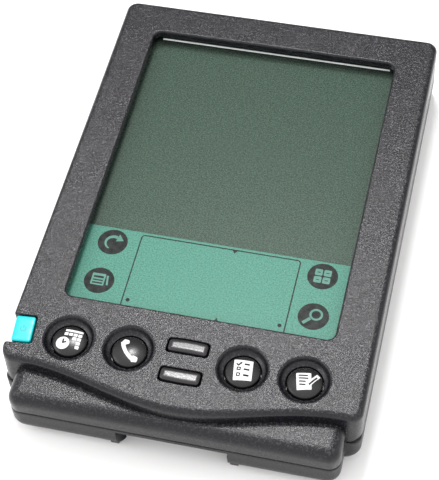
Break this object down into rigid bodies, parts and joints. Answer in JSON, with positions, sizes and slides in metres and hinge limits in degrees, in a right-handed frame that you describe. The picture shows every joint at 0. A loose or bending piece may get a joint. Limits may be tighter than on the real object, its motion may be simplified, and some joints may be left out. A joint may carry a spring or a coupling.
{
  "type": "personal digital assistant",
  "caption": "Pocket organiser in a charcoal case: recessed touch screen over a teal writing panel, round buttons, scroll bars, stylus and battery door.",
  "frame": {"origin": "bottom centre of the object's box, on the flat back it rests on", "axes": "+Z out of the screen, +Y to the top edge, +X to the user's right"},
  "size_m": [0.0812, 0.1194, 0.0178],
  "materials": {
    "case_plastic": "fine sparkle-grained charcoal moulding",
    "button_plastic": "satin dark grey moulding",
    "cyan_plastic": "glossy bright cyan moulding",
    "gasket_rubber": "black foam",
    "touch_glass": "clear, anti-glare",
    "lcd_glass": "grey-green, satin",
    "writing_print": "teal with dark printed marks",
    "circuit_board": "green solder mask",
    "chip_plastic": "black epoxy",
    "steel": "brushed, nickel-plated",
    "bright_metal": "plated",
    "piezo_brass": "brushed",
    "capacitor_film": "blue sleeve",
    "flex_film": "amber film",
    "key_rubber": "grey silicone",
    "socket_plastic": "cream moulding",
    "battery_sleeve": "printed foil sleeve, left plain",
    "stylus_tip_plastic": "hard black"
  },
  "bodies": {
    "root": {"front_case": "case_plastic", "back_case": "case_plastic", "screen_gasket": "gasket_rubber", "touch_panel": "touch_glass", "writing_panel": "writing_print", "lcd_panel": "lcd_glass", "lcd_frame": "steel", "lcd_flex": "flex_film", "main_board": "circuit_board", "processor": "chip_plastic", "clock_crystal": "bright_metal", "backup_capacitor": "capacitor_film", "speaker": "piezo_brass", "card_socket": "socket_plastic", "memory_card": "circuit_board", "contrast_pot": "steel", "key_mat": "key_rubber", "button_board": "circuit_board", "button_flex": "flex_film", "serial_connector": "chip_plastic", "port_spring": "bright_metal", "battery_upper": "battery_sleeve", "battery_lower": "battery_sleeve", "battery_springs": "bright_metal", "battery_plates": "bright_metal", "case_screws": "steel", "board_screws": "steel"},
    "power_key": {"power_button": "cyan_plastic"},
    "calendar_key": {"calendar_button": "button_plastic"},
    "phone_key": {"phone_button": "button_plastic"},
    "list_key": {"list_button": "button_plastic"},
    "note_key": {"note_button": "button_plastic"},
    "scroll_up_key": {"scroll_up_button": "button_plastic"},
    "scroll_down_key": {"scroll_down_button": "button_plastic"},
    "reset_key": {"reset_button": "socket_plastic"},
    "dial": {"contrast_dial": "button_plastic"},
    "stylus": {"stylus_barrel": "button_plastic", "stylus_tip": "stylus_tip_plastic"},
    "battery_lid": {"battery_door": "case_plastic"},
    "memory_lid": {"memory_door": "case_plastic"},
    "port_lid": {"port_door": "case_plastic"}
  },
  "joints": [
    {"name": "power_press", "type": "slide", "parent": "root", "child": "power_key", "axis": [0, 0, -1], "range_m": [0, 0.0006], "stiffness_N_per_m": 600},
    {"name": "calendar_press", "type": "slide", "parent": "root", "child": "calendar_key", "axis": [0, 0, -1], "range_m": [0, 0.001], "stiffness_N_per_m": 500},
    {"name": "phone_press", "type": "slide", "parent": "root", "child": "phone_key", "axis": [0, 0, -1], "range_m": [0, 0.001], "stiffness_N_per_m": 500},
    {"name": "list_press", "type": "slide", "parent": "root", "child": "list_key", "axis": [0, 0, -1], "range_m": [0, 0.001], "stiffness_N_per_m": 500},
    {"name": "note_press", "type": "slide", "parent": "root", "child": "note_key", "axis": [0, 0, -1], "range_m": [0, 0.001], "stiffness_N_per_m": 500},
    {"name": "scroll_up_press", "type": "slide", "parent": "root", "child": "scroll_up_key", "axis": [0, 0, -1], "range_m": [0, 0.0006], "stiffness_N_per_m": 500},
    {"name": "scroll_down_press", "type": "slide", "parent": "root", "child": "scroll_down_key", "axis": [0, 0, -1], "range_m": [0, 0.0006], "stiffness_N_per_m": 500},
    {"name": "reset_press", "type": "slide", "parent": "root", "child": "reset_key", "axis": [0, 0, 1], "range_m": [0, 0.0006], "stiffness_N_per_m": 400},
    {"name": "contrast_turn", "type": "hinge", "parent": "root", "child": "dial", "pos_m": [-0.03415, 0.032, 0.0084], "axis": [0, 0, 1], "range_deg": [-135, 135]},
    {"name": "stylus_slide", "type": "slide", "parent": "root", "child": "stylus", "axis": [0, 1, 0], "range_m": [0, 0.102]},
    {"name": "battery_door_open", "type": "hinge", "parent": "root", "child": "battery_lid", "pos_m": [0, -0.0378, 0], "axis": [-1, 0, 0], "range_deg": [0, 110]},
    {"name": "memory_door_open", "type": "hinge", "parent": "root", "child": "memory_lid", "pos_m": [0, 0.052, 0], "axis": [1, 0, 0], "range_deg": [0, 110]},
    {"name": "port_door_slide", "type": "slide", "parent": "root", "child": "port_lid", "axis": [0, 0, 1], "range_m": [0, 0.0034], "stiffness_N_per_m": 60}
  ]
}
